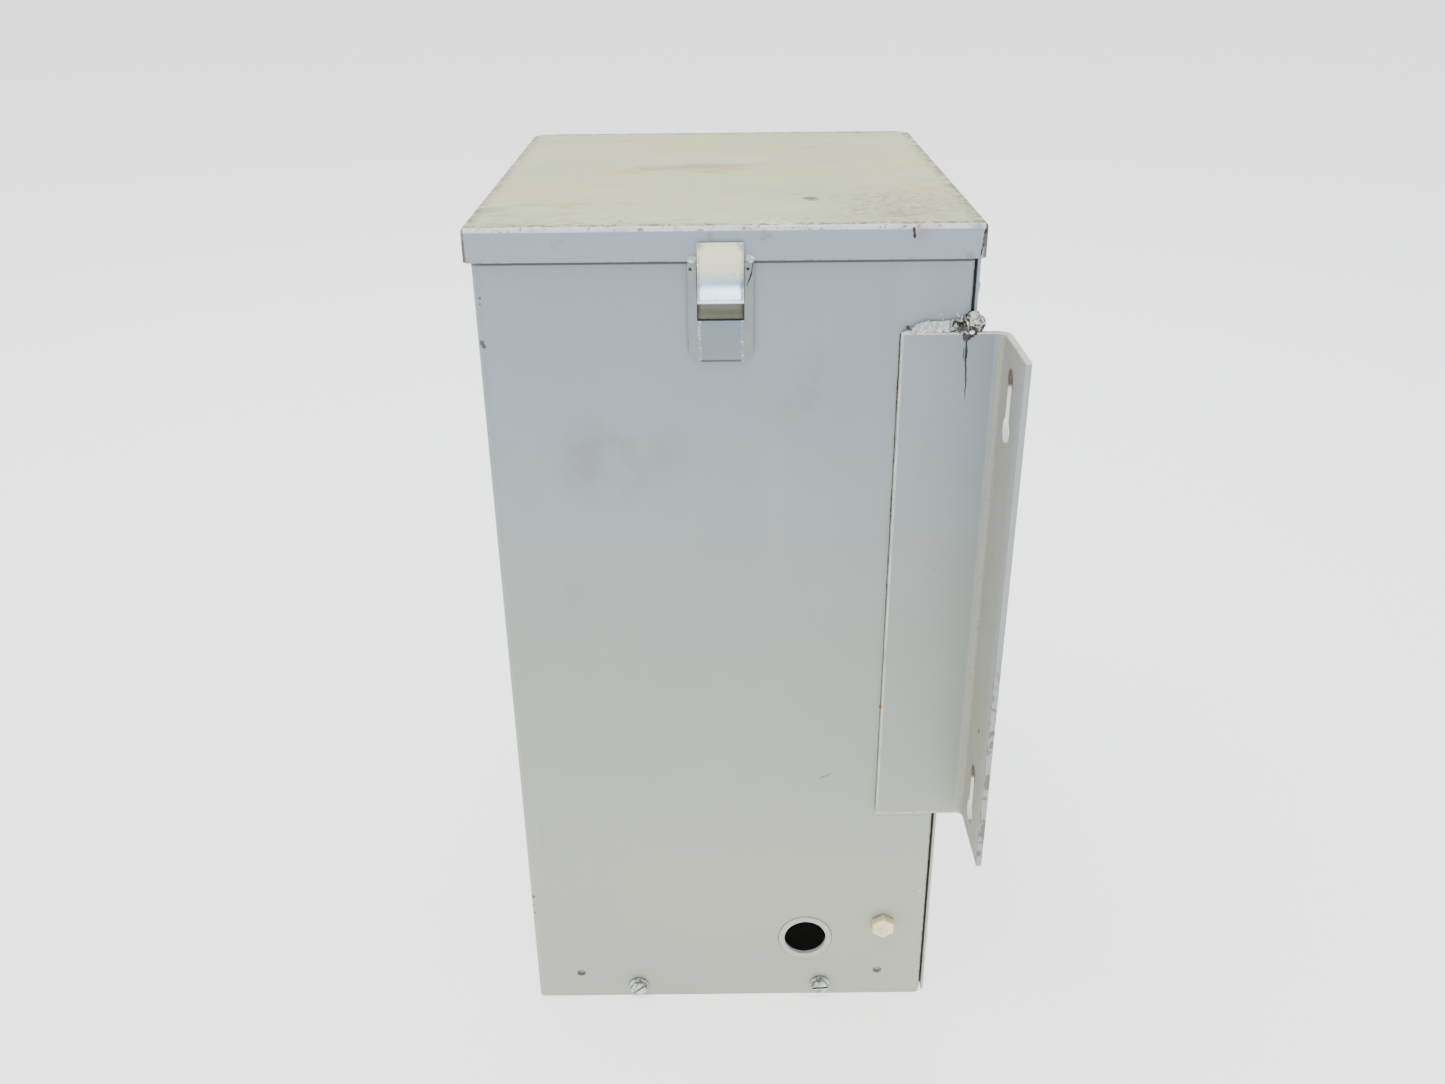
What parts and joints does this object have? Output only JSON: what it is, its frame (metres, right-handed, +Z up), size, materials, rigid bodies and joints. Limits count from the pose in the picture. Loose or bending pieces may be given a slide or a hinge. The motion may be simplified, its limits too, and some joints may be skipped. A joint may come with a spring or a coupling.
{
  "type": "breaker panel box",
  "caption": "Wall-mounted sheet-metal breaker panel box with hinged cap lid, sprung catch, hinged front door, breakers and bus bars without wiring, and keyhole mounting angles.",
  "frame": {"origin": "centre of the base, on the underside of the bottom plate", "axes": "+Z up, -Y out of the front door, +Y towards the wall, +X out of the side wall that has the knockout"},
  "size_m": [0.3282, 0.2369, 0.4198],
  "materials": {
    "panel_enamel": "worn satin grey enamel",
    "lid_enamel": "weathered satin enamel, cream-green",
    "zinc": "bright zinc plate",
    "steel": "plain steel",
    "copper": "bare copper",
    "aluminium": "satin",
    "black_plastic": "fine moulded texture",
    "handle_plastic": "smooth moulded",
    "insulator": "moulded laminate",
    "gasket_rubber": "closed-cell foam"
  },
  "bodies": {
    "box": {"back_gasket": "gasket_rubber", "back_plate": "panel_enamel", "back_screw_1": "zinc", "back_screw_2": "zinc", "back_screw_3": "zinc", "back_screw_4": "zinc", "base_screw_far_1": "zinc", "base_screw_far_2": "zinc", "base_screw_near_1": "zinc", "base_screw_near_2": "zinc", "body_shell": "panel_enamel", "bottom_plate": "panel_enamel", "breaker_left_1_case": "black_plastic", "breaker_left_2_case": "black_plastic", "breaker_right_1_case": "black_plastic", "breaker_right_2_case": "black_plastic", "bus_bar_left": "copper", "bus_bar_right": "copper", "bus_insulator": "insulator", "dead_front": "panel_enamel", "dead_front_screw_1": "zinc", "dead_front_screw_2": "zinc", "dead_front_screw_3": "zinc", "dead_front_screw_4": "zinc", "door_hinge_lower_body_leaf": "steel", "door_hinge_lower_pin": "steel", "door_hinge_upper_body_leaf": "steel", "door_hinge_upper_pin": "steel", "ground_bar": "copper", "ground_bolt": "zinc", "ground_lug": "copper", "ground_nut": "zinc", "knockout_ring": "panel_enamel", "lid_hinge_1_body_leaf": "steel", "lid_hinge_1_pin": "steel", "lid_hinge_2_body_leaf": "steel", "lid_hinge_2_pin": "steel", "main_breaker_case": "black_plastic", "main_lug_left": "aluminium", "main_lug_right": "aluminium", "mounting_angle_far": "panel_enamel", "mounting_angle_near": "panel_enamel", "mounting_pan": "panel_enamel", "neutral_bar": "aluminium"},
    "lid": {"lid": "lid_enamel", "catch_tongue": "panel_enamel", "lid_hinge_1_lid_leaf": "steel", "lid_hinge_2_lid_leaf": "steel"},
    "catch": {"catch_clip": "zinc"},
    "door": {"door": "panel_enamel", "door_hinge_lower_door_leaf": "steel", "door_hinge_upper_door_leaf": "steel"},
    "door_latch": {"door_latch_knob": "zinc", "door_latch_cam": "zinc"},
    "handle_left_1": {"breaker_left_1_handle": "handle_plastic"},
    "handle_left_2": {"breaker_left_2_handle": "handle_plastic"},
    "handle_right_1": {"breaker_right_1_handle": "handle_plastic"},
    "handle_right_2": {"breaker_right_2_handle": "handle_plastic"},
    "handle_main": {"main_breaker_handle": "handle_plastic"}
  },
  "joints": [
    {"name": "lid_hinge", "type": "hinge", "parent": "box", "child": "lid", "pos_m": [-0.12635, 0, 0.404], "axis": [0, -1, 0], "range_deg": [0, 105]},
    {"name": "catch_flex", "type": "hinge", "parent": "lid", "child": "catch", "pos_m": [0.12395, -0.0012, 0.4125], "axis": [0, -1, 0], "range_deg": [0, 12], "stiffness_Nm_per_rad": 1.2},
    {"name": "door_hinge", "type": "hinge", "parent": "box", "child": "door", "pos_m": [-0.093, -0.1073, 0.2125], "axis": [0, 0, -1], "range_deg": [0, 115]},
    {"name": "door_latch_turn", "type": "hinge", "parent": "door", "child": "door_latch", "pos_m": [0.045, -0.1088, 0.2125], "axis": [0, -1, 0], "range_deg": [0, 90]},
    {"name": "main_breaker_throw", "type": "hinge", "parent": "box", "child": "handle_main", "pos_m": [0, -0.0536, 0.302], "axis": [1, 0, 0], "range_deg": [0, 40]},
    {"name": "breaker_left_1_throw", "type": "hinge", "parent": "box", "child": "handle_left_1", "pos_m": [-0.0222, -0.0536, 0.218], "axis": [0, 0, -1], "range_deg": [0, 40]},
    {"name": "breaker_right_1_throw", "type": "hinge", "parent": "box", "child": "handle_right_1", "pos_m": [0.0222, -0.0536, 0.218], "axis": [0, 0, 1], "range_deg": [0, 40]},
    {"name": "breaker_left_2_throw", "type": "hinge", "parent": "box", "child": "handle_left_2", "pos_m": [-0.0222, -0.0536, 0.1926], "axis": [0, 0, -1], "range_deg": [0, 40]},
    {"name": "breaker_right_2_throw", "type": "hinge", "parent": "box", "child": "handle_right_2", "pos_m": [0.0222, -0.0536, 0.1926], "axis": [0, 0, 1], "range_deg": [0, 40]}
  ]
}
